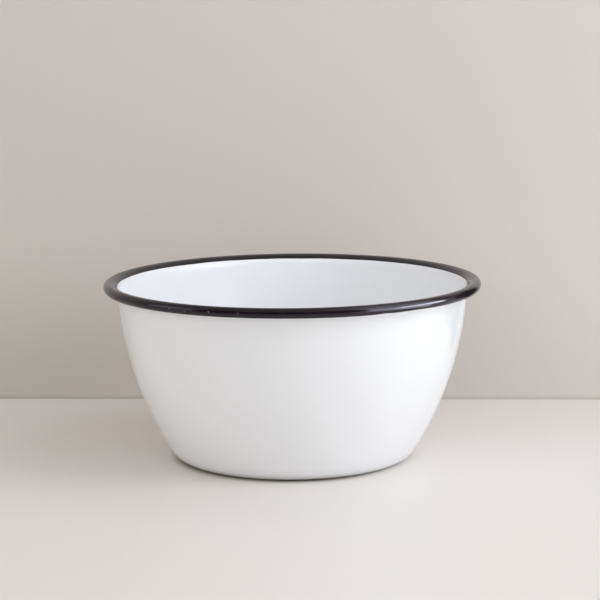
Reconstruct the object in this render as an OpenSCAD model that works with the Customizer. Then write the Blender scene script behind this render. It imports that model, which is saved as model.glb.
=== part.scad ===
// Enamelled steel bowl with a rolled rim.
//
// The bowl stands on z = 0 and turns about the Z axis. Every layer of it follows one outline,
// a chain of flats and tangent arcs in the r, z half plane: raised centre panel, step down,
// standing ring, corner, wall, flared lip, rolled bead. A layer is the strip between two depths
// under the finished outside face.

/* [Bowl] */
// Outside diameter over the rolled rim
rim_d = 200; // [190:1:215]
// Height from the standing ring to the top of the rim
bowl_h = 95; // [90:0.5:104]
// Radius of the curve that the side wall follows
wall_r = 180.5; // [172:0.5:220]

/* [Base] */
// Outside diameter of the flat standing ring
ring_d = 116; // [106:1:122]
// Radius of the turn from the standing ring to the wall
corner_r = 8.5; // [6:0.5:14]
// Width of the flat standing ring
ring_w = 9; // [5:0.5:16]
// How far the centre panel is pressed up above the standing ring
panel_rise = 1; // [0.5:0.1:1.6]
// Radius of both bends of the step round the panel
step_r = 4.5; // [3:0.1:7]

/* [Rolled rim] */
// Diameter of the finished bead
bead_d = 5.2; // [4.8:0.1:6.4]
// Radius of the finished lip where it flares out from the wall
lip_r = 6.5; // [6:0.1:8]
// How far the black band reaches down inside, below the top of the rim
band_drop = 2.3; // [1:0.1:3.4]
// Angle below level, seen from the middle of the bead, at which the black stops under it
black_end_a = 70; // [45:1:85]
// Gap left between the rolled edge of the steel and the lip above it
curl_gap = 0.15; // [0.1:0.05:0.3]

/* [Layers] */
// Thickness of the sheet steel
steel_t = 0.7; // [0.5:0.05:0.9]
// Thickness of the dark ground coat on each face
ground_t = 0.15; // [0.1:0.01:0.2]
// Thickness of the cover coat on each face
cover_t = 0.25; // [0.15:0.01:0.3]

/* [Hidden] */
$fn = 180;

// Neighbouring arcs overlap by this much where they meet, so that no hairline is left between them
seam = 0.002;

// Depths under the outside face at which one layer gives way to the next
skin_t = cover_t + ground_t;
total_t = steel_t + 2 * skin_t;

// Standing ring and the corner above it
ring_r = ring_d / 2;
corner_c = [ring_r, corner_r];

// Lip and bead: their centres stand on one upright line, and they meet at the top of the rim
bead_r = bead_d / 2;
bead_c = [rim_d / 2 - bead_r, bowl_h - bead_r];
lip_c = [bead_c.x, bowl_h - lip_r];
lip_under_r = lip_r - total_t;

// The wall touches the corner from inside and the lip from outside
wall_c = third_corner(corner_c, lip_c, wall_r - corner_r + seam, wall_r + lip_under_r - seam);

// Step round the panel: the lower bend turns about a centre above it, the upper one about a centre below
step_low_c = [ring_r - ring_w, step_r];
step_run = sqrt((2 * step_r - seam) ^ 2 - (2 * step_r - panel_rise) ^ 2);
step_high_c = [step_low_c.x - step_run, panel_rise - step_r];

// Ends of the black band on the lip and of the rolled edge in the curl
band_a = 180 - asin((lip_r - band_drop) / lip_r);
curl_r = bead_r - skin_t;
curl_end_a = meeting_a(curl_r, lip_under_r + cover_t - curl_gap);

// Angle on the bead at which its coats have run into the middle of the wall
bead_back_a = meeting_a(bead_r, lip_r - total_t / 2);

// Angle about the bead's centre at which a circle of radius r there meets one of radius reach about the lip's
function meeting_a(r, reach) =
    let (gap = lip_r - bead_r)
    180 - asin((reach ^ 2 - r ^ 2 - gap ^ 2) / (2 * gap * r));

// Corner of a triangle, on the left of the way from b to a, at the distances da and db from them
function third_corner(a, b, da, db) =
    let (
        side = norm(b - a),
        along = (b - a) / side,
        foot = (da ^ 2 - db ^ 2 + side ^ 2) / (2 * side)
    )
    a + foot * along + sqrt(da ^ 2 - foot ^ 2) * [-along.y, along.x];

// Point at a distance and an angle from c
function polar(c, r, a) = c + r * [cos(a), sin(a)];

// Point past the far side of b, on the line from a to b
function beyond(a, b, reach) = b + reach * (b - a) / norm(b - a);

module disc(c, r) {
    translate(c)
        circle(r = r);
}

// Slice of the plane about c, from angle a0 to a1, wider than a circle of radius r
module wedge(c, r, a0, a1) {
    sides = 4;
    polygon(concat([c], [for (i = [0 : sides]) polar(c, 2 * r, a0 + (a1 - a0) * i / sides)]));
}

// Space under the pressed-up panel, for a face at depth s
module panel_recess(s) {
    translate([0, -panel_rise])
        square([step_high_c.x, 2 * panel_rise + s]);
    disc(step_high_c, step_r + s);
    difference() {
        polygon([step_high_c, step_low_c, [step_low_c.x, -step_r], [step_high_c.x, -step_r]]);
        disc(step_low_c, step_r - s);
    }
}

// All of the half plane on the bowl's side of the face at depth s, up to the top of the lip
module inside(s) {
    difference() {
        union() {
            translate([0, s])
                square([ring_r, corner_r]);
            disc(corner_c, corner_r - s);
            intersection() {
                disc(wall_c, wall_r - s);
                polygon([
                    corner_c, beyond(wall_c, corner_c, rim_d), [rim_d, bowl_h], [0, bowl_h], [0, corner_r]
                ]);
            }
            polygon([beyond(wall_c, lip_c, -2 * lip_r), lip_c, [lip_c.x, bowl_h], [corner_c.x, bowl_h]]);
        }
        disc(lip_c, lip_under_r + s);
        panel_recess(s);
    }
}

// Part of the filled bead from angle a0 to a1, where its black or its white coat lies
module bead_part(a0, a1) {
    intersection() {
        disc(bead_c, bead_r);
        wedge(bead_c, bead_r, a0, a1);
    }
}

// Cut through the wall and the filled bead, with a skin of the given thickness left off
module cut_through(skin) {
    difference() {
        inside(skin);
        inside(total_t - skin);
    }
    disc(bead_c, bead_r - skin);
}

module steel_shell() {
    color("silver")
        rotate_extrude() {
            difference() {
                inside(skin_t);
                inside(skin_t + steel_t);
            }
            intersection() {
                difference() {
                    disc(bead_c, curl_r);
                    disc(bead_c, curl_r - steel_t);
                }
                wedge(bead_c, bead_r, curl_end_a - 360, 90);
            }
        }
}

module ground_coat() {
    color("dimgray")
        rotate_extrude()
            difference() {
                cut_through(cover_t);
                cut_through(skin_t);
            }
}

module inner_white_coat() {
    color("whitesmoke")
        rotate_extrude()
            difference() {
                inside(total_t - cover_t);
                inside(total_t);
                wedge(lip_c, lip_r, 0, band_a);
            }
}

module outer_white_coat() {
    color("white")
        rotate_extrude()
            difference() {
                union() {
                    inside(0);
                    bead_part(bead_back_a - 360, -black_end_a);
                }
                inside(cover_t);
                disc(bead_c, bead_r - cover_t);
                bead_part(-black_end_a, bead_back_a);
            }
}

module rim_coat() {
    color("#1d1b1f")
        rotate_extrude()
            difference() {
                union() {
                    bead_part(-black_end_a, bead_back_a);
                    intersection() {
                        difference() {
                            inside(total_t - cover_t);
                            inside(total_t);
                        }
                        wedge(lip_c, lip_r, 0, band_a);
                    }
                }
                cut_through(cover_t);
            }
}

steel_shell();
ground_coat();
inner_white_coat();
outer_white_coat();
rim_coat();
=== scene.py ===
"""Fired coats, rolled rim and studio for an enamelled steel bowl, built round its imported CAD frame.

Sizes are in metres and angles in radians, unless a comment says otherwise. The three cover coats are turned
about the Z axis from an outline in the r, z half plane: raised centre panel, step down, standing ring,
corner, wall, flared lip, rolled bead. The steel and the ground coat stay as the CAD made them.
"""

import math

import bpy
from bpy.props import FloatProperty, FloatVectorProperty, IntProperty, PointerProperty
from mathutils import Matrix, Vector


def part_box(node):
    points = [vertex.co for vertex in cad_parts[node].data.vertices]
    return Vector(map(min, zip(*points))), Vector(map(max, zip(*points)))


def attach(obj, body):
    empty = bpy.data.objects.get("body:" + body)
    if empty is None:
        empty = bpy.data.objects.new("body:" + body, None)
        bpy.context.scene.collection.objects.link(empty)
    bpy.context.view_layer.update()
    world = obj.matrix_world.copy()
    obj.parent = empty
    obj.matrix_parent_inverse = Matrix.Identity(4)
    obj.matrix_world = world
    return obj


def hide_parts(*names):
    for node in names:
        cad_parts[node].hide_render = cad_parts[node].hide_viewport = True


bl_info = {
    "name": "Enamelled Bowl",
    "version": (1, 0, 0),
    "blender": (4, 5, 0),
    "location": "3D View > Sidebar > Enamelled Bowl",
    "description": "Makes the fired coats and the rolled black rim of a pressed steel bowl",
    "category": "Add Mesh",
}

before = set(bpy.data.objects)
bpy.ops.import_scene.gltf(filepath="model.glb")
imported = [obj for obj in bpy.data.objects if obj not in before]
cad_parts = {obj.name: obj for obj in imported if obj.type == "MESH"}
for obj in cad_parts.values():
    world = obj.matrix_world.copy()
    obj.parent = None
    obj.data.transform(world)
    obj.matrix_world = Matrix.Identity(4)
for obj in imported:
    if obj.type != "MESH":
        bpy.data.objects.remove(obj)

MM = 0.001
TURN = 2 * math.pi
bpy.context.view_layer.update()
RIM_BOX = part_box("rim_coat")
GLASS_IOR = 1.52

# Width of the picture that the focal length is given for
FRAME_PIXELS = 600

# Share of the facets that the hidden face of a coat is built with
HIDDEN_FINENESS = 0.5

# Share of each of a colour's parts that is left where painted shade covers it
GRIME_SHARES = (0.47, 0.46, 0.41)

# Places where the black stops higher or lower under the bead, in degrees: heading, half width, rise.
# Heading 0 is the camera's side, and it grows to the right, here and below.
UNDER_RAISES = ((-62, 26, -10), (-14, 14, 6), (12, 4, -6), (26.7, 2.4, 14), (37, 9, 17), (74, 7, 29))

# Small light flecks in the black: heading and angle about the bead's centre in degrees, radius in
# millimetres
CHIPS = (
    (-37.3, 0, 0.5), (-32, -12, 0.35), (-24.1, 2, 0.5), (-15.4, 0, 0.4), (9.1, -64, 0.7), (178, 60, 0.5),
)


def length(name, description, default):
    """A size in metres."""
    return FloatProperty(name=name, description=description, default=default, min=0,
                         unit="LENGTH", precision=5)


def angle(name, description, default):
    """An angle, shown in degrees."""
    return FloatProperty(name=name, description=description, default=default, unit="ROTATION", precision=4)


def colour(name, description, default):
    """A linear colour."""
    return FloatVectorProperty(name=name, description=description, default=default, subtype="COLOR",
                               size=3, min=0, max=1)


def share(name, description, default):
    """A number from 0 to 1."""
    return FloatProperty(name=name, description=description, default=default, min=0, max=1, subtype="FACTOR")


class BowlShape(bpy.types.PropertyGroup):
    """Sizes of the pressed steel and its rolled rim, over the finished coats."""

    rim_radius: length("Rim radius", "From the axis to the outside of the rolled rim", RIM_BOX[1].x)
    height: length("Height", "From the standing ring to the top of the rim", RIM_BOX[1].z)
    wall_curve: length("Wall curve", "Radius of the curve that the side wall follows", 180.5 * MM)
    ring_radius: length("Ring radius", "Outside radius of the flat standing ring", 58 * MM)
    ring_width: length("Ring width", "Width of the flat standing ring", 9 * MM)
    corner_curve: length("Corner curve", "Radius of the turn from the ring to the wall", 8.5 * MM)
    panel_rise: length("Panel rise", "How far the centre panel is pressed up", 1 * MM)
    step_curve: length("Step curve", "Radius of both bends of the step round the panel", 4.5 * MM)
    bead_radius: length("Bead radius", "Radius of the finished bead", 2.6 * MM)
    lip_curve: length("Lip curve", "Radius of the finished lip where it flares out", 6.5 * MM)
    band_drop: length("Band drop", "How far the black band reaches down inside", 2.3 * MM)
    black_end: angle("Black end", "Angle below level at which the black stops under the bead",
                     math.radians(70))
    thickness: length("Thickness", "Steel and both faces' coats together", 1.5 * MM)
    coat: length("Coat", "Thickness of a cover coat", 0.25 * MM)


class EnamelFinish(bpy.types.PropertyGroup):
    """Colours, gloss and unevenness of the fired coats."""

    white_inside: colour("White inside", "Cover coat inside the bowl", (0.88, 0.887, 0.912))
    white_outside: colour("White outside", "Cover coat outside the bowl", (0.87, 0.882, 0.898))
    white_thin: colour("Thin white", "White where it is thin over a bend", (0.36, 0.38, 0.45))
    black: colour("Black", "Coat of the rolled rim", (0.0035, 0.0028, 0.0038))
    black_warm: colour("Warm black", "Brown to violet patches of the black", (0.00945, 0.0056, 0.00874))
    black_thin: colour("Thin black", "Black where it thins out over the white", (0.10, 0.08, 0.125))
    chipped: colour("Flecks", "What shows in a chip of the black", (0.17, 0.155, 0.19))
    dust: colour("Dust", "Specks fired into the black", (0.1, 0.095, 0.1))
    ground: colour("Ground coat", "Dark first coat under the white", (0.02, 0.022, 0.035))
    bubbles: colour("Bubbles", "Fine bubbles in the ground coat", (0.2, 0.2, 0.24))
    steel: colour("Steel", "Bare pressed steel", (0.52, 0.53, 0.54))
    white_roughness: share("White roughness", "Roughness of the white coats", 0.16)
    black_roughness: share("Black roughness", "Roughness of the black coat", 0.13)
    ground_roughness: share("Ground roughness", "Roughness of the ground coat", 0.3)
    black_shine: share("Black shine", "Strength of the reflections in the black coat", 0.4)
    black_glare: colour("Black glare", "Tint of the reflections in the black coat", (0.93, 0.90, 1.0))
    peel_size: length("Peel size", "Width of the dimples left by firing", 2.4 * MM)
    peel_depth: length("Peel depth", "Depth of the dimples left by firing", 0.012 * MM)
    ripple_size: length("Ripple size", "Width of the slow waves in a coat", 34 * MM)
    ripple_depth: length("Ripple depth", "Depth of the slow waves in a coat", 0.04 * MM)
    edge_size: length("Edge wave size", "Length of the waves along the edges of the black", 26 * MM)
    edge_wave: length("Edge wave height", "How far the black's edge inside the bowl wanders", 0.35 * MM)
    under_wave: angle("Under wave", "How far the black's edge under the bead wanders", math.radians(9))
    edge_roll: length("Edge roll", "How far the black stands proud along its edges", 0.06 * MM)
    roll_width: length("Edge roll width", "Width of the proud line along the black's edges", 1.2 * MM)
    steps: IntProperty(name="Steps", description="Facets round the bowl", default=360, min=24, max=720)
    seed: IntProperty(name="Seed", description="Start of the random waves and specks", default=7, min=0)


class StudioSetup(bpy.types.PropertyGroup):
    """Camera, floor, backdrop and lamps."""

    distance: length("Camera distance", "From the bowl's axis to the camera, along the floor", 1035.7 * MM)
    camera_height: length("Camera height", "Height of the camera above the floor", 250 * MM)
    pitch: angle("Pitch", "How far the camera looks down", 0.1596)
    yaw: angle("Yaw", "How far the camera looks to the right", 0.0039)
    roll: angle("Roll", "How far the camera leans", -0.0088)
    focal_pixels: FloatProperty(name="Focal length", description="In pixels", default=1971.5)
    wall_distance: length("Backdrop distance", "From the bowl's axis to the backdrop behind it", 138.5 * MM)
    wall_turn: angle("Backdrop turn", "How far the backdrop's right end is turned forward", 0.0524)
    reach: length("Reach", "How far the floor and backdrop run", 4)
    wall_end: length("Backdrop end", "How far the backdrop runs to the right", 0.25)
    floor_colour: colour("Floor", "Pale worktop", (0.804, 0.758, 0.722))
    wall_colour: colour("Backdrop", "Pale backdrop", (0.64, 0.596, 0.555))
    surround: colour("Surround", "What lies beyond the floor and the backdrop", (0.50, 0.47, 0.45))
    felt: colour("Felt", "Dark cards that only the reflections show", (0.03, 0.03, 0.03))
    daylight: colour("Daylight", "Light through the window", (0.90, 0.94, 1.0))
    room_light: colour("Room light", "Light from the front, the back and above", (0.96, 0.97, 1.0))
    shade_light: colour("Shade light", "Light from the left and from all round", (0.97, 0.955, 0.91))
    ambient: FloatProperty(name="Ambient", description="Strength of the light from all round",
                           default=0.192, min=0)


class Wire:
    """One output of a node. Sums on it, such as 1 - wire * 0.5, add the Math nodes that they need."""

    def __init__(self, bench, socket):
        self.bench = bench
        self.socket = socket

    def math(self, operation, *values):
        """A Math node on the given values, in order."""
        return self.bench.add("ShaderNodeMath", {"operation": operation}, dict(enumerate(values)))[0]

    def __add__(self, other):
        return self.math("ADD", self, other)

    def __sub__(self, other):
        return self.math("SUBTRACT", self, other)

    def __rsub__(self, other):
        return self.math("SUBTRACT", other, self)

    def __mul__(self, other):
        return self.math("MULTIPLY", self, other)

    def __truediv__(self, other):
        return self.math("DIVIDE", self, other)

    def __rtruediv__(self, other):
        return self.math("DIVIDE", other, self)

    def __mod__(self, other):
        return self.math("MODULO", self, other)

    def __rmod__(self, other):
        return self.math("MODULO", other, self)

    def __floordiv__(self, other):
        return self.math("FLOOR", self / other)

    def __rfloordiv__(self, other):
        return self.math("FLOOR", other / self)

    def __lt__(self, other):
        return self.math("LESS_THAN", self, other)

    def __gt__(self, other):
        return self.math("GREATER_THAN", self, other)

    __radd__ = __add__
    __rmul__ = __mul__


class Outputs:
    """The outputs of a node, by name or number."""

    def __init__(self, bench, node):
        self.bench = bench
        self.node = node

    def __getitem__(self, key):
        return Wire(self.bench, self.node.outputs[key])


class Bench:
    """Adds nodes to one tree. Shaders, the world and Geometry Nodes all use it."""

    def __init__(self, tree):
        self.tree = tree
        tree.nodes.clear()

    def add(self, kind, settings=None, sockets=None):
        """Adds a node, sets its settings, fills its sockets by name or number, and returns its outputs."""
        node = self.tree.nodes.new(kind)
        for name, value in (settings or {}).items():
            setattr(node, name, value)
        for key, value in (sockets or {}).items():
            if isinstance(value, Wire):
                self.tree.links.new(value.socket, node.inputs[key])
            else:
                node.inputs[key].default_value = value
        return Outputs(self, node)

    def vector(self, operation, *values):
        """A Vector Math node, as its vector output."""
        return self.add("ShaderNodeVectorMath", {"operation": operation}, dict(enumerate(values)))["Vector"]

    def scaled(self, vector, factor):
        """A vector times a number."""
        sockets = {"Vector": vector, "Scale": factor}
        return self.add("ShaderNodeVectorMath", {"operation": "SCALE"}, sockets)["Vector"]

    def distance(self, first, second):
        """How far apart two places are."""
        return self.add("ShaderNodeVectorMath", {"operation": "DISTANCE"}, {0: first, 1: second})["Value"]

    def blend(self, factor, first, second):
        """The first colour where the factor is 0, and the second where it is 1."""
        sockets = {0: factor, 6: rgba(first), 7: rgba(second)}
        return self.add("ShaderNodeMix", {"data_type": "RGBA"}, sockets)[2]

    def band(self, value, low, high):
        """0 below low, 1 above high, and a smooth rise between."""
        sockets = {"Value": value, "From Min": low, "From Max": high}
        return self.add("ShaderNodeMapRange", {"interpolation_type": "SMOOTHSTEP"}, sockets)[0]

    def noise(self, place, size, detail, seed):
        """Noise from 0 to 1 whose features are about size metres across."""
        sockets = {"Vector": place, "Scale": 1 / size, "Detail": detail, "W": seed}
        return self.add("ShaderNodeTexNoise", {"noise_dimensions": "4D"}, sockets)[0]

    def bump(self, height, depth, strength=1.0):
        """A normal bent by a height, of which 1 stands for depth metres."""
        sockets = {"Strength": strength, "Distance": depth, "Height": height}
        return self.add("ShaderNodeBump", None, sockets)["Normal"]


def rgba(value):
    """A colour with its alpha, or a wire as it is."""
    return value if isinstance(value, Wire) else (*value, 1)


def new_material(name, look):
    """A material whose nodes are built by look, which returns the surface shader."""
    material = bpy.data.materials.new(name)
    material.use_nodes = True
    bench = Bench(material.node_tree)
    place = bench.add("ShaderNodeTexCoord")["Object"]
    bench.add("ShaderNodeOutputMaterial", None, {"Surface": look(bench, place)})
    return material


def glaze(bench, place, finish, base, roughness, peel, pits, shine=0.5, glare=(1, 1, 1)):
    """Fired glass: dimples in its surface, a pit at each speck of pits, and a gloss that varies a little."""
    smear_size = 22 * MM
    dimples = bench.noise(place, finish.peel_size, 3.0, finish.seed)
    slow = bench.noise(place, finish.peel_size * 5, 1.0, finish.seed + 1)
    smears = bench.noise(place, smear_size, 4.0, finish.seed + 2)
    sockets = {
        "Base Color": base,
        "Roughness": roughness * (0.75 + 0.5 * smears),
        "Normal": bench.bump(dimples * 0.4 + slow - pits, finish.peel_depth * peel),
        "IOR": GLASS_IOR,
        "Specular IOR Level": shine,
        "Specular Tint": rgba(glare),
    }
    return bench.add("ShaderNodeBsdfPrincipled", None, sockets)["BSDF"]


def specks(bench, place, spacing, radius, kept):
    """Round specks: 1 in each speck and 0 between. kept is the share of the cells that hold one."""
    sockets = {"Vector": place, "Scale": 1 / spacing, "Randomness": 1.0}
    cells = bench.add("ShaderNodeTexVoronoi", None, sockets)
    chosen = bench.add("ShaderNodeSeparateColor", None, {"Color": cells["Color"]})
    soft_from = 0.6
    size = radius / spacing * (0.5 + 0.5 * chosen["Green"])
    inside = 1 - bench.band(cells["Distance"] / size, soft_from, 1.0)
    return inside * (chosen["Red"] < kept)


def thinness(bench):
    """How thin the coat is, as its outline says it: 0 over most of it, 1 where it runs out."""
    return bench.add("ShaderNodeAttribute", {"attribute_name": "thin"})["Fac"]


def white_enamel(finish, name, tint):
    """White cover coat: milky, a little uneven, with pinholes, and greyer where it is thin over a bend."""
    cloud_size = 60 * MM
    patch_size = 9 * MM
    pinhole_spacing = 13 * MM
    pinhole_radius = 0.16 * MM
    pinholed_share = 0.3
    pinhole_strength = 0.55
    thin_strength = 0.1
    dull = [c * 0.985 for c in tint]

    def look(bench, place):
        cloud = bench.noise(place, cloud_size, 3.0, finish.seed + 3)
        shade = bench.blend(bench.band(cloud, 0.35, 0.65), dull, tint)
        patchy = thinness(bench) * (0.6 + 0.8 * bench.noise(place, patch_size, 2.0, finish.seed + 4))
        shade = bench.blend(patchy * thin_strength, shade, finish.white_thin)
        pinholes = specks(bench, place, pinhole_spacing, pinhole_radius, pinholed_share)
        shade = bench.blend(pinholes * pinhole_strength, shade, finish.ground)
        return glaze(bench, place, finish, shade, finish.white_roughness, 1.0, pinholes)

    return new_material(name, look)


def black_enamel(finish, chips):
    """Black rim coat: deep and glossy, brown to violet in places, thin along its edges, with small light
    flecks.
    """
    cloud_size = 14 * MM
    ragged_size = 1.5 * MM
    dust_spacing = 5 * MM
    dust_radius = 0.12 * MM
    dusty_share = 0.25
    dust_strength = 0.5

    def look(bench, place):
        cloud = bench.noise(place, cloud_size, 3.0, finish.seed + 5)
        shade = bench.blend(bench.band(cloud, 0.4, 0.7), finish.black, finish.black_warm)
        ragged = thinness(bench) + bench.noise(place, ragged_size, 3.0, finish.seed + 9) * 0.5
        shade = bench.blend(bench.band(ragged, 0.85, 1.35), shade, finish.black_thin)
        # Small lilac grey flecks mixed into the black's colour at the listed places
        for middle, radius in chips:
            away = bench.distance(place, middle) / radius
            rough_edge = bench.noise(place, radius, 2.0, finish.seed + 10)
            chip = 1 - bench.band(away + rough_edge, 1.0, 1.5)
            shade = bench.blend(chip, shade, finish.chipped)
        dust = specks(bench, place, dust_spacing, dust_radius, dusty_share)
        shade = bench.blend(dust * dust_strength, shade, finish.dust)
        return glaze(bench, place, finish, shade, finish.black_roughness, 1.2, dust,
                     finish.black_shine, finish.black_glare)

    return new_material("Black rim enamel", look)


def ground_enamel(finish):
    """Ground coat: blue black, with the fine bubbles that firing leaves in it."""
    cloud_size = 8 * MM
    bubble_spacing = 1.2 * MM
    bubble_radius = 0.2 * MM
    bubbled_share = 0.5
    bubble_strength = 0.3
    light = [c * 1.8 for c in finish.ground]

    def look(bench, place):
        cloud = bench.noise(place, cloud_size, 4.0, finish.seed + 6)
        shade = bench.blend(bench.band(cloud, 0.4, 0.65), finish.ground, light)
        bubbles = specks(bench, place, bubble_spacing, bubble_radius, bubbled_share)
        shade = bench.blend(bubbles * bubble_strength, shade, finish.bubbles)
        return glaze(bench, place, finish, shade, finish.ground_roughness, 1.5, bubbles)

    return new_material("Ground enamel", look)


def pressed_steel(finish):
    """Pressed and pickled sheet: a soft drawing grain that runs up the wall."""
    grain_size = 0.6 * MM
    grain_depth = 0.01 * MM
    squeeze = (1.0, 1.0, 0.08)
    cloud_size = 12 * MM
    dull = [c * 0.7 for c in finish.steel]

    def look(bench, place):
        grain = bench.noise(bench.vector("MULTIPLY", place, squeeze), grain_size, 3.0, finish.seed + 7)
        cloud = bench.noise(place, cloud_size, 3.0, finish.seed + 8)
        sockets = {
            "Base Color": bench.blend(bench.band(cloud, 0.35, 0.7), finish.steel, dull),
            "Roughness": 0.3 + 0.25 * grain,
            "Normal": bench.bump(grain, grain_depth, 0.5),
            "Metallic": 1.0,
        }
        return bench.add("ShaderNodeBsdfPrincipled", None, sockets)["BSDF"]

    return new_material("Pressed steel", look)


def polar(centre, radius, turn):
    """Point at a radius and an angle from a centre."""
    return centre + radius * Vector((math.cos(turn), math.sin(turn)))


def spread(start, end, count):
    """Evenly spaced numbers, both ends among them."""
    return [start + (end - start) * i / count for i in range(count + 1)]


def arc(centre, radius, start, end, count):
    """Points along an arc, both ends among them."""
    return [polar(centre, radius, turn) for turn in spread(start, end, count)]


def third_corner(a, b, from_a, from_b):
    """Corner of a triangle on the left of the way from b to a, at two distances from them."""
    side = (b - a).length
    along = (b - a) / side
    foot = (from_a ** 2 - from_b ** 2 + side ** 2) / (2 * side)
    return a + foot * along + math.sqrt(from_a ** 2 - foot ** 2) * Vector((-along.y, along.x))


class Outline:
    """The bowl's outline in the r, z half plane, at any depth under its outside face."""

    # Points along each of its stretches
    POINTS = {"panel": 9, "bend": 6, "corner": 12, "wall": 44, "lip": 14}

    def __init__(self, shape):
        self.shape = shape
        self.corner = Vector((shape.ring_radius, shape.corner_curve))
        self.bead = Vector((shape.rim_radius - shape.bead_radius, shape.height - shape.bead_radius))
        self.lip = Vector((self.bead.x, shape.height - shape.lip_curve))
        self.lip_under = shape.lip_curve - shape.thickness
        self.wall = third_corner(self.corner, self.lip, shape.wall_curve - shape.corner_curve,
                                 shape.wall_curve + self.lip_under)
        self.step_low = Vector((shape.ring_radius - shape.ring_width, shape.step_curve))
        rise = 2 * shape.step_curve - shape.panel_rise
        run = math.sqrt((2 * shape.step_curve) ** 2 - rise ** 2)
        self.step_high = Vector((self.step_low.x - run, shape.panel_rise - shape.step_curve))
        self.step_turn = math.atan2(rise, run)
        self.corner_turn = self.heading(self.corner)
        self.lip_turn = self.heading(self.lip)
        self.band_turn = math.pi - math.asin((shape.lip_curve - shape.band_drop) / shape.lip_curve)

    def heading(self, point):
        """Angle of the way from the wall's centre to a point."""
        way = point - self.wall
        return math.atan2(way.y, way.x)

    def crease(self, depth):
        """Angles about both centres at which the lip's and the bead's faces at a depth meet."""
        on_lip = self.lip_under + depth
        on_bead = self.shape.bead_radius - depth
        gap = (self.bead - self.lip).length
        rise = (on_lip ** 2 - on_bead ** 2 + gap ** 2) / (2 * gap)
        return math.pi - math.asin(rise / on_lip), -math.pi - math.asin((rise - gap) / on_bead)

    def under_black(self, turn):
        """How far the white dips under the black, at an angle about the bead's centre."""
        dip = 0.04 * MM
        start = -self.shape.black_end - math.radians(20)
        run = math.radians(10)
        return dip * min(1, max(0, (turn - start) / run))

    def face(self, depth, end, fineness=1.0):
        """The face at a depth, from the axis out to an angle about the lip's centre."""
        shape = self.shape
        quarter = math.pi / 2

        def points(name):
            """How many points a stretch gets."""
            return max(2, round(self.POINTS[name] * fineness))

        floor = shape.panel_rise + depth
        panel = [Vector((self.step_high.x * i / points("panel"), floor)) for i in range(points("panel"))]
        bend_up = arc(self.step_high, shape.step_curve + depth, quarter, self.step_turn, points("bend"))
        bend_down = arc(self.step_low, shape.step_curve - depth, self.step_turn + math.pi, 3 * quarter,
                        points("bend"))
        corner = arc(self.corner, shape.corner_curve - depth, -quarter, self.corner_turn, points("corner"))
        wall = arc(self.wall, shape.wall_curve - depth, self.corner_turn, self.lip_turn, points("wall"))
        lip = arc(self.lip, self.lip_under + depth, self.lip_turn + math.pi, end, points("lip"))
        return panel + bend_up + bend_down[1:] + corner + wall[1:] + lip[1:]


def normals_along(points):
    """Unit normals that point out of a shape kept on the left of its outline."""
    result = []
    for i, point in enumerate(points):
        before = points[max(i - 1, 0)]
        after = points[min(i + 1, len(points) - 1)]
        way = (after - before).normalized()
        result.append(Vector((way.y, -way.x)))
    return result


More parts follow.
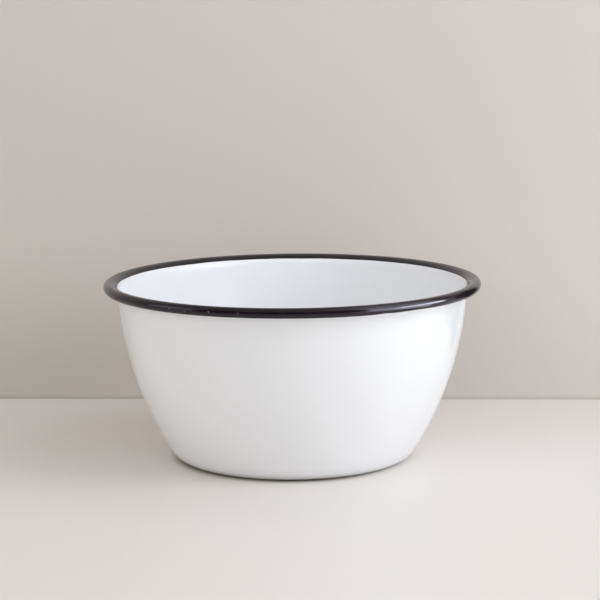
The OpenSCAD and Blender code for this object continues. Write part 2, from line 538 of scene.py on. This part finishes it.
def turning_tree():
    """Geometry Nodes tree that turns an outline about the Z axis and gives the coat its unevenness.

    Each point of the outline says how the coat may move there: swell is the way that the ripples push it,
    inner_swing and under_swing are its shares of the waves along the coat's two edges, which turn it about
    its pivot, and thin is 1 where the coat runs out. Vectors are in the r, z half plane.
    """
    tree = bpy.data.node_groups.new("Turned coat", "GeometryNodeTree")
    sizes = ("Ripple Depth", "Ripple Size", "Edge Size", "Inner Wave", "Under Wave", "Seed")
    inputs = {"Outline": "NodeSocketGeometry", "Steps": "NodeSocketInt", "Material": "NodeSocketMaterial"}
    inputs.update({name: "NodeSocketFloat" for name in sizes})
    for name, kind in inputs.items():
        tree.interface.new_socket(name, in_out="INPUT", socket_type=kind)
    tree.interface.new_socket("Coat", in_out="OUTPUT", socket_type="NodeSocketGeometry")
    bench = Bench(tree)
    given = bench.add("NodeGroupInput")
    measured = {"Geometry": given["Outline"]}
    count = bench.add("GeometryNodeAttributeDomainSize", {"component": "MESH"}, measured)[0]
    spans = {"Size X": 1.0, "Size Y": 1.0, "Vertices X": given["Steps"] + 1, "Vertices Y": count}
    grid = bench.add("GeometryNodeMeshGrid", None, spans)
    index = bench.add("GeometryNodeInputIndex")[0]
    row = index % count
    turn = index // count / given["Steps"] * TURN

    def along_outline(kind, field):
        """A field of the outline, as each point of the coat reads it."""
        sockets = {"Geometry": given["Outline"], "Value": field, "Index": row}
        return bench.add("GeometryNodeSampleIndex", {"data_type": kind}, sockets)["Value"]

    def said(name, kind="FLOAT"):
        """What an attribute of the outline says at each point of the coat."""
        field = bench.add("GeometryNodeInputNamedAttribute", {"data_type": kind}, {"Name": name})[0]
        return along_outline(kind, field)

    def rotated(vector, axis, by, centre=(0, 0, 0)):
        """A vector turned about an axis by an angle."""
        sockets = {"Vector": vector, "Center": centre, "Angle": by}
        return bench.add("ShaderNodeVectorRotate", {"rotation_type": axis}, sockets)["Vector"]

    def wander(seed):
        """Uneven number from about -1 to 1 that varies along the rim."""
        edge = rotated((RIM_BOX[1].x, 0, 0), "Z_AXIS", turn)
        return (bench.noise(edge, given["Edge Size"], 3.0, given["Seed"] + seed) - 0.5) * 2

    inner_seed = 0.1
    under_seed = 0.5
    raised = wander(under_seed) * given["Under Wave"]
    for heading, half_width, rise in UNDER_RAISES:
        away = (turn - math.radians(heading - 90) % TURN) / math.radians(half_width)
        hump = away.math("EXPONENT", away * away * -1)
        raised = raised + hump * math.radians(rise)
    waved = wander(inner_seed) * given["Inner Wave"]
    swing = said("inner_swing") * waved + said("under_swing") * raised
    outline = along_outline("FLOAT_VECTOR", bench.add("GeometryNodeInputPosition")[0])
    swung = rotated(outline, "Y_AXIS", swing * -1, said("pivot", "FLOAT_VECTOR"))
    still = rotated(outline, "Z_AXIS", turn)
    ripple = bench.noise(still, given["Ripple Size"], 1.0, given["Seed"]) * given["Ripple Depth"] * -1
    sunk = bench.scaled(rotated(said("swell", "FLOAT_VECTOR"), "Z_AXIS", turn), ripple)
    final = bench.vector("ADD", rotated(swung, "Z_AXIS", turn), sunk)
    coat = bench.add("GeometryNodeSetPosition", None, {"Geometry": grid["Mesh"], "Position": final})[0]
    for name, kind, domain, value in (
        ("UVMap", "FLOAT2", "CORNER", grid["UV Map"]),
        ("thin", "FLOAT", "POINT", said("thin")),
    ):
        settings = {"data_type": kind, "domain": domain}
        sockets = {"Geometry": coat, "Name": name, "Value": value}
        coat = bench.add("GeometryNodeStoreNamedAttribute", settings, sockets)[0]
    coat = bench.add("GeometryNodeMergeByDistance", None, {"Geometry": coat, "Distance": 0.001 * MM})[0]
    coat = bench.add("GeometryNodeSetShadeSmooth", None, {"Geometry": coat})[0]
    coat = bench.add("GeometryNodeRealizeInstances", None, {"Geometry": coat})[0]
    coat = bench.add("GeometryNodeSetMaterial", None, {"Geometry": coat, "Material": given["Material"]})[0]
    bench.add("NodeGroupOutput", None, {"Coat": coat})
    return tree


class Spot:
    """A point of an outline, and how the coat may move there."""

    def __init__(self, place, ripple=1.0, pivot=Vector((0, 0)), inner_swing=0.0, under_swing=0.0, thin=0.0):
        self.place = place
        self.ripple = ripple
        self.pivot = pivot
        self.inner_swing = inner_swing
        self.under_swing = under_swing
        self.thin = thin


def outline_object(name, spots):
    """A piece that holds only its outline, point after point, with what the tree reads of each."""
    mesh = bpy.data.meshes.new(name)
    edges = [(i, i + 1) for i in range(len(spots) - 1)]
    mesh.from_pydata([(spot.place.x, 0, spot.place.y) for spot in spots], edges, [])
    normals = normals_along([spot.place for spot in spots])
    vectors = {
        "swell": [normal * spot.ripple for normal, spot in zip(normals, spots)],
        "pivot": [spot.pivot for spot in spots],
    }
    for label, values in vectors.items():
        layer = mesh.attributes.new(label, "FLOAT_VECTOR", "POINT")
        layer.data.foreach_set("vector", [part for v in values for part in (v.x, 0, v.y)])
    for label in ("inner_swing", "under_swing", "thin"):
        layer = mesh.attributes.new(label, "FLOAT", "POINT")
        layer.data.foreach_set("value", [getattr(spot, label) for spot in spots])
    piece = bpy.data.objects.new(name, mesh)
    bpy.context.scene.collection.objects.link(piece)
    return piece


def bake_nodes(piece, tree, values):
    """Runs a Geometry Nodes tree on a piece and keeps its result as a plain mesh."""
    modifier = piece.modifiers.new(tree.name, "NODES")
    modifier.node_group = tree
    for item in tree.interface.items_tree:
        if item.in_out == "INPUT" and item.name in values:
            modifier[item.identifier] = values[item.name]
    graph = bpy.context.evaluated_depsgraph_get()
    finished = piece.evaluated_get(graph)
    mesh = bpy.data.meshes.new_from_object(finished, preserve_all_data_layers=True, depsgraph=graph)
    if not mesh.polygons:
        raise RuntimeError(f"{piece.name}: its tree made no faces")
    mesh.name = piece.name
    piece.modifiers.clear()
    piece.data = mesh


def turn_coat(name, spots, finish, material):
    """Turns an outline into a coat."""
    piece = outline_object(name, spots)
    tree = bpy.data.node_groups.get("Turned coat") or turning_tree()
    bake_nodes(piece, tree, {
        "Steps": finish.steps, "Ripple Depth": finish.ripple_depth, "Ripple Size": finish.ripple_size,
        "Edge Size": finish.edge_size, "Inner Wave": finish.edge_wave, "Under Wave": finish.under_wave,
        "Seed": float(finish.seed), "Material": material,
    })
    return piece


def declare(piece, node):
    """Makes a piece stand for its CAD node, on the bowl's one body."""
    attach(piece, "root")
    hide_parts(node)


class BOWL_OT_outer_white_coat(bpy.types.Operator):
    """Makes the white cover coat outside, from under the base to a little way under the black on the bead"""

    bl_idname = "bowl.outer_white_coat"
    bl_label = "Outer white coat"

    def execute(self, context):
        shape = context.scene.bowl_shape
        finish = context.scene.enamel_finish
        outline = Outline(shape)
        tuck = math.radians(45)
        end = tuck - shape.black_end
        outer_steps = 40
        hidden_steps = 20
        on_lip, on_bead = outline.crease(0)
        outside = outline.face(0, on_lip) + [
            polar(outline.bead, shape.bead_radius - outline.under_black(turn), turn)
            for turn in spread(on_bead, end, outer_steps)[1:]
        ]
        on_lip, on_bead = outline.crease(shape.coat)
        hidden_bead = arc(outline.bead, shape.bead_radius - shape.coat, end, on_bead, hidden_steps)
        hidden_wall = outline.face(shape.coat, on_lip, HIDDEN_FINENESS)[-2::-1]
        places = outside + hidden_bead + hidden_wall
        spots = [Spot(p, self.ripple_at(shape, p), thin=self.thinness(shape, p)) for p in places]
        material = white_enamel(finish, "Outer white enamel", finish.white_outside)
        piece = turn_coat("white_enamel_outside", spots, finish, material)
        declare(piece, "outer_white_coat")
        return {"FINISHED"}

    def ripple_at(self, shape, place):
        """Share of the ripples: none on the standing ring, so that the bowl stands level."""
        return min(1, max(0, place.y / (2 * shape.corner_curve)))

    def thinness(self, shape, place):
        """Share by which the white is thin: on the corner above the standing ring."""
        return max(0, 1 - abs(place.y - shape.corner_curve / 3) / (shape.corner_curve / 2))


class BOWL_OT_inner_white_coat(bpy.types.Operator):
    """Makes the white cover coat inside, from the floor to a little way under the black band"""

    bl_idname = "bowl.inner_white_coat"
    bl_label = "Inner white coat"

    def execute(self, context):
        shape = context.scene.bowl_shape
        finish = context.scene.enamel_finish
        outline = Outline(shape)
        tuck = 0.85 * MM
        tuck_depth = 0.06 * MM
        end = outline.band_turn - tuck / shape.lip_curve
        hidden = outline.face(shape.thickness - shape.coat, end, HIDDEN_FINENESS)
        inside = outline.face(shape.thickness, end)
        inside[-1] = polar(outline.lip, shape.lip_curve - tuck_depth, end)
        spots = [Spot(p, thin=self.thinness(shape, p)) for p in hidden + inside[::-1]]
        material = white_enamel(finish, "Inner white enamel", finish.white_inside)
        piece = turn_coat("white_enamel_inside", spots, finish, material)
        declare(piece, "inner_white_coat")
        return {"FINISHED"}

    def thinness(self, shape, place):
        """Share by which the white is thin: where the lip begins to flare."""
        return max(0, 1 - (shape.height - place.y) / shape.lip_curve)


class BOWL_OT_black_rim(bpy.types.Operator):
    """Makes the black coat over the lip and round the rolled bead, with its two wandering edges"""

    bl_idname = "bowl.black_rim"
    bl_label = "Black rim"

    def execute(self, context):
        shape = context.scene.bowl_shape
        finish = context.scene.enamel_finish
        outline = Outline(shape)
        top = math.pi / 2
        low = -shape.black_end
        end = outline.band_turn
        bead_steps = 72
        band_steps = 36
        hidden_band_steps = 12
        hidden_bead_steps = 36

        def bead(turns, outer):
            """Points round the bead, on one face of the coat."""
            return [self.bead_spot(shape, finish, outline, turn, outer) for turn in turns]

        def band(turns, outer):
            """Points along the band on the lip, on one face of the coat."""
            return [self.band_spot(shape, finish, outline, turn, outer) for turn in turns]

        bead_out = bead(spread(low, top, bead_steps), True)
        band_out = band(spread(top, end, band_steps), True)
        band_in = band(spread(end, top, hidden_band_steps), False)
        bead_in = bead(spread(top, low, hidden_bead_steps), False)
        spots = bead_out + band_out[1:] + band_in + bead_in[1:] + bead_out[:1]
        material = black_enamel(finish, self.chips(shape, outline))
        piece = turn_coat("black_enamel_rim", spots, finish, material)
        declare(piece, "rim_coat")
        glare_receivers().objects.link(piece)
        return {"FINISHED"}

    def chips(self, shape, outline):
        """The middle and radius of each light fleck."""
        result = []
        for heading, turn, radius in CHIPS:
            on_bead = polar(outline.bead, shape.bead_radius, math.radians(turn))
            way = math.radians(heading)
            result.append(((on_bead.x * math.sin(way), -on_bead.x * math.cos(way), on_bead.y), radius * MM))
        return result

    def bead_spot(self, shape, finish, outline, turn, outer):
        """A point of the coat round the bead, on its outer or inner face."""
        reach = math.radians(60)
        gone = turn + shape.black_end
        left = gone * shape.bead_radius
        place, thin = self.surface(finish, outline.bead, shape.bead_radius, shape.coat, turn, left, outer)
        return Spot(place, pivot=outline.bead, under_swing=max(0, 1 - gone / reach), thin=thin)

    def band_spot(self, shape, finish, outline, turn, outer):
        """A point of the band on the lip, on its outer or inner face."""
        left = (outline.band_turn - turn) * shape.lip_curve
        reach = 3 * MM
        place, thin = self.surface(finish, outline.lip, shape.lip_curve, shape.coat, turn, left, outer)
        swing = max(0, 1 - left / reach) / shape.lip_curve
        return Spot(place, pivot=outline.lip, inner_swing=swing, thin=thin)

    def surface(self, finish, centre, radius, coat, turn, left, outer):
        """A point at a distance left from the coat's edge, where it rolls over, and how thin the coat is."""
        gone = min(1, left / finish.roll_width)
        proud = finish.edge_roll * math.sin(math.pi * math.sqrt(gone))
        level = proud if outer else -coat
        return polar(centre, radius + level, turn), max(0, 1 - left / (finish.roll_width / 2))


class BOWL_OT_steel_and_ground(bpy.types.Operator):
    """Gives the steel shell and its ground coat, which stay as the CAD made them, their materials"""

    bl_idname = "bowl.steel_and_ground"
    bl_label = "Steel and ground coat"

    def execute(self, context):
        finish = context.scene.enamel_finish
        materials = {"steel_shell": pressed_steel(finish), "ground_coat": ground_enamel(finish)}
        for node, material in materials.items():
            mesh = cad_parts[node].data
            if not mesh.materials:
                mesh.materials.append(material)
            for i in range(len(mesh.materials)):
                mesh.materials[i] = material
        return {"FINISHED"}


def sheet_object(name, corners, material):
    """A flat rectangle of the studio."""
    mesh = bpy.data.meshes.new(name)
    mesh.from_pydata(corners, [], [range(len(corners))])
    mesh.materials.append(material)
    piece = bpy.data.objects.new(name, mesh)
    bpy.context.scene.collection.objects.link(piece)
    return piece


def dark_card(name, start, end, top, material):
    """An upright card between two places on the floor, which only reflections show."""
    corners = [(*start, 0), (*end, 0), (*end, top), (*start, top)]
    card = sheet_object(name, corners, material)
    card.visible_camera = card.visible_diffuse = card.visible_transmission = card.visible_shadow = False


def matt_surface(bench, place, tint, roughness, grime=0.0):
    """Plain painted board with a hardly visible mottle, and painted shade, dark and warm, where the last
    argument is 1.
    """
    mottle_size = 0.25
    mottled = [c * 0.97 for c in tint]
    grimy = [c * left for c, left in zip(tint, GRIME_SHARES)]
    cloud = bench.noise(place, mottle_size, 3.0, 1.0)
    # Painted shade: the board's colour darkened and warmed where the shade mask is 1
    shade = bench.blend(grime, bench.blend(cloud * 0.5, tint, mottled), grimy)
    sockets = {"Base Color": shade, "Roughness": roughness, "Specular IOR Level": 0.25}
    return bench.add("ShaderNodeBsdfPrincipled", None, sockets)["BSDF"]


def glare_receivers():
    """The collection whose pieces alone are lit by the glare lamps."""
    name = "Lit by the glare"
    return bpy.data.collections.get(name) or bpy.data.collections.new(name)


def around(heading, distance, height):
    """A place about the bowl's axis, by its heading in degrees."""
    way = math.radians(heading)
    return Vector((distance * math.sin(way), -distance * math.cos(way), height))


def on_axis(height):
    """A place on the bowl's axis."""
    return Vector((0, 0, height))


def add_lamp(name, place, target, size, power, tint):
    """A soft rectangular lamp that faces a target."""
    light = bpy.data.lights.new(name, "AREA")
    light.shape = "RECTANGLE"
    light.size, light.size_y = size
    light.energy = power
    light.color = tint
    lamp = bpy.data.objects.new(name, light)
    lamp.location = place
    lamp.rotation_euler = (place - target).to_track_quat("Z", "Y").to_euler()
    bpy.context.scene.collection.objects.link(lamp)
    return lamp


def wall_y(setup, x):
    """Where the backdrop's foot stands."""
    return setup.wall_distance - x * math.tan(setup.wall_turn)


# Panes of the tall window: heading in degrees, bottom, top, width, watts
WINDOW_PANES = {
    "Window": (68, 0.15, 0.95, 0.86, 3.5),
    "Middle pane": (68, 0.15, 0.95, 0.27, 1.25),
    "Foot of the window": (77, 0, 0.15, 0.58, 1.24),
}

# Soft lamps that face the bowl: place, width and length, watts, colour, whether reflections show it
SOFT_LAMPS = {
    "Right lamp": (around(75, 0.90, 0.99), (1.2, 1.2), 5.5, "daylight", True),
    "Left lamp": (around(-75, 1.15, 0.62), (1.2, 0.6), 3.7, "shade_light", False),
    "Front lamp": (around(0, 1.21, 0.45), (1.8, 1.2), 3.6, "room_light", False),
    "Low front lamp": (around(-20, 1.29, 0.32), (0.7, 0.6), 1.5, "room_light", False),
    "Top lamp": (around(0, 0.65, 1.18), (1.8, 0.6), 2.9, "room_light", False),
    "Back lamp": (around(143, 0.65, 1.18), (0.6, 0.6), 4.7, "room_light", False),
}

# Lamps that light the black alone: place, what they face, width and length, watts
GLARES = {
    "Glare of the window": (around(80, 0.8, 0.14), on_axis(0.14), (0.49, 0.28), 5.4),
    "Faint glare of the window": (around(51, 0.8, 0.15), on_axis(0.15), (0.34, 0.3), 1.7),
    "Glare of the worktop": (Vector((0.4, -0.2, 2 * MM)), Vector((0.4, -0.2, 1)), (0.4, 0.3), 1.8),
    "Glare from the left": (around(-74, 0.8, 0.3), on_axis(0.3), (0.45, 0.56), 0.7),
}


class BOWL_OT_studio(bpy.types.Operator):
    """Sets up the pale floor, the backdrop, the dark cards, the lamps and the camera"""

    bl_idname = "bowl.studio"
    bl_label = "Studio"

    def execute(self, context):
        setup = context.scene.studio_setup
        self.add_floor(setup, context.scene.bowl_shape.ring_radius)
        self.add_backdrop(setup)
        self.add_cards(setup)
        self.add_lamps(setup)
        self.set_world(context.scene, setup)
        self.add_camera(context.scene, setup)
        context.scene.view_settings.view_transform = "Standard"
        return {"FINISHED"}

    def add_floor(self, setup, ring):
        """The worktop, with a painted contact shadow round the foot of the bowl, which fades on the window's
        side.
        """
        reach = setup.reach
        corners = [(-reach, -reach, 0), (reach, -reach, 0), (reach, reach, 0), (-reach, reach, 0)]
        roughness = 0.38
        line_start = ring + 2 * MM
        line_end = ring + 10 * MM
        fade_start = 0.2 * ring

        def look(bench, place):
            away = bench.distance(bench.vector("MULTIPLY", place, (1, 1, 0)), (0, 0, 0))
            right = bench.add("ShaderNodeSeparateXYZ", None, {"Vector": place})["X"]
            # Painted contact shadow: the worktop darkened in a ring just outside the standing ring, fading
            # to the right
            footprint = 1 - bench.band(away, line_start, line_end)
            faded = footprint * (1 - bench.band(right, fade_start, ring))
            return matt_surface(bench, place, setup.floor_colour, roughness, faded)

        sheet_object("floor", corners, new_material("Pale worktop", look))

    def add_backdrop(self, setup):
        """The backdrop, with a painted shadow line at its foot and painted shade in its lower left corner.

        It shows only from its front, so that views from behind the bowl stay clear.
        """
        reach = setup.reach
        start, end = [(x, wall_y(setup, x)) for x in (-reach, setup.wall_end)]
        corners = [(*start, 0), (*end, 0), (*end, reach), (*start, reach)]
        roughness = 0.8
        line_height = 3 * MM
        line_grime = 0.33
        shade_height = 110 * MM
        shade_start = -160 * MM
        shade_end = -50 * MM
        shade_grime = 0.22

        def look(bench, place):
            where = bench.add("ShaderNodeSeparateXYZ", None, {"Vector": place})
            # Painted shade: a dark line along the backdrop's foot and a darker, warmer lower left corner
            foot_line = line_grime - bench.band(where["Z"], 0, line_height) * line_grime
            low = 1 - bench.band(where["Z"], 0, shade_height)
            left = 1 - bench.band(where["X"], shade_start, shade_end)
            grime = foot_line + low * left * shade_grime
            board = matt_surface(bench, place, setup.wall_colour, roughness, grime)
            clear = bench.add("ShaderNodeBsdfTransparent")["BSDF"]
            behind = bench.add("ShaderNodeNewGeometry")["Backfacing"]
            return bench.add("ShaderNodeMixShader", None, {0: behind, 1: board, 2: clear})["Shader"]

        sheet_object("backdrop", corners, new_material("Pale backdrop", look))

    def add_cards(self, setup):
        """The dark room in front of the bowl and past the backdrop's end, as the bowl's gloss shows it."""
        felt = new_material("Black felt", lambda bench, place: matt_surface(bench, place, setup.felt, 1.0))
        front_headings = (-55, -25, 10, 42)
        front_distance = 0.6
        front_top = 0.4
        right_span = (0.19, 0.45)
        right_top = 0.2
        off_wall = 1 * MM
        places = [around(heading, front_distance, 0).xy for heading in front_headings]
        for start, end in zip(places, places[1:]):
            dark_card("dark_card_front", start, end, front_top, felt)
        start, end = [(x, wall_y(setup, x) - off_wall) for x in right_span]
        dark_card("dark_card_right", start, end, right_top, felt)

    def add_lamps(self, setup):
        """A tall window to the right that reaches down to the table, and weaker light from all sides."""
        window_distance = 0.9
        for name, (heading, bottom, top, width, power) in WINDOW_PANES.items():
            middle = (bottom + top) / 2
            place = around(heading, window_distance, middle)
            add_lamp(name, place, on_axis(middle), (width, top - bottom), power, setup.daylight)
        bowl_middle = on_axis(0.05)
        for name, (place, size, power, tint, reflected) in SOFT_LAMPS.items():
            lamp = add_lamp(name, place, bowl_middle, size, power, getattr(setup, tint))
            lamp.visible_glossy = reflected
        for name, (place, target, size, power) in GLARES.items():
            lamp = add_lamp(name, place, target, size, power, setup.daylight)
            lamp.light_linking.receiver_collection = glare_receivers()

    def set_world(self, scene, setup):
        """Soft light from all round, and a plain surround for the camera and the reflections."""
        world = bpy.data.worlds.new("Studio")
        world.use_nodes = True
        scene.world = world
        bench = Bench(world.node_tree)
        rays = bench.add("ShaderNodeLightPath")
        seen = rays["Is Camera Ray"] + rays["Is Glossy Ray"] + rays["Is Transmission Ray"]
        shown = {"Color": rgba(setup.surround), "Strength": 1.0}
        surround = bench.add("ShaderNodeBackground", None, shown)["Background"]
        shining = {"Color": rgba(setup.shade_light), "Strength": setup.ambient}
        ambient = bench.add("ShaderNodeBackground", None, shining)["Background"]
        sockets = {0: seen.math("MINIMUM", seen, 1.0), 1: ambient, 2: surround}
        mixed = bench.add("ShaderNodeMixShader", None, sockets)["Shader"]
        bench.add("ShaderNodeOutputWorld", None, {"Surface": mixed})

    def add_camera(self, scene, setup):
        """The camera stands in front of the bowl, on the plane x = 0."""
        ahead = math.cos(setup.pitch)
        forward = Vector((math.sin(setup.yaw) * ahead, math.cos(setup.yaw) * ahead, -math.sin(setup.pitch)))
        level = Vector((math.cos(setup.yaw), -math.sin(setup.yaw), 0))
        upright = level.cross(forward)
        lean_cos, lean_sin = math.cos(setup.roll), math.sin(setup.roll)
        right = lean_cos * level + lean_sin * upright
        up = lean_cos * upright - lean_sin * level
        turned = Matrix((right, up, -forward)).transposed().to_4x4()
        data = bpy.data.cameras.new("Camera")
        data.lens = setup.focal_pixels / FRAME_PIXELS * data.sensor_width
        camera = bpy.data.objects.new("Camera", data)
        camera.matrix_world = Matrix.Translation((0, -setup.distance, setup.camera_height)) @ turned
        scene.collection.objects.link(camera)
        scene.camera = camera


class BOWL_PT_panel(bpy.types.Panel):
    """Lists what makes the bowl and its studio, and their sizes and colours"""

    bl_idname = "BOWL_PT_panel"
    bl_label = "Enamelled Bowl"
    bl_space_type = "VIEW_3D"
    bl_region_type = "UI"
    bl_category = "Enamelled Bowl"

    def draw(self, context):
        for operator in OPERATORS:
            self.layout.operator(operator.bl_idname)
        for group in (context.scene.bowl_shape, context.scene.enamel_finish, context.scene.studio_setup):
            box = self.layout.box()
            for name in group.bl_rna.properties.keys():
                if name not in ("rna_type", "name"):
                    box.prop(group, name)


OPERATORS = (BOWL_OT_studio, BOWL_OT_steel_and_ground, BOWL_OT_outer_white_coat, BOWL_OT_inner_white_coat,
             BOWL_OT_black_rim)
CLASSES = (BowlShape, EnamelFinish, StudioSetup, *OPERATORS, BOWL_PT_panel)


def register():
    """Registers the classes and gives the scene its three groups of properties."""
    for item in CLASSES:
        bpy.utils.register_class(item)
    bpy.types.Scene.bowl_shape = PointerProperty(type=BowlShape)
    bpy.types.Scene.enamel_finish = PointerProperty(type=EnamelFinish)
    bpy.types.Scene.studio_setup = PointerProperty(type=StudioSetup)


def unregister():
    """Takes back what register did."""
    del bpy.types.Scene.studio_setup
    del bpy.types.Scene.enamel_finish
    del bpy.types.Scene.bowl_shape
    for item in reversed(CLASSES):
        bpy.utils.unregister_class(item)


def main():
    """Makes the studio and the bowl."""
    register()
    bpy.ops.bowl.studio()
    bpy.ops.bowl.steel_and_ground()
    bpy.ops.bowl.outer_white_coat()
    bpy.ops.bowl.inner_white_coat()
    bpy.ops.bowl.black_rim()


if __name__ == "__main__":
    main()
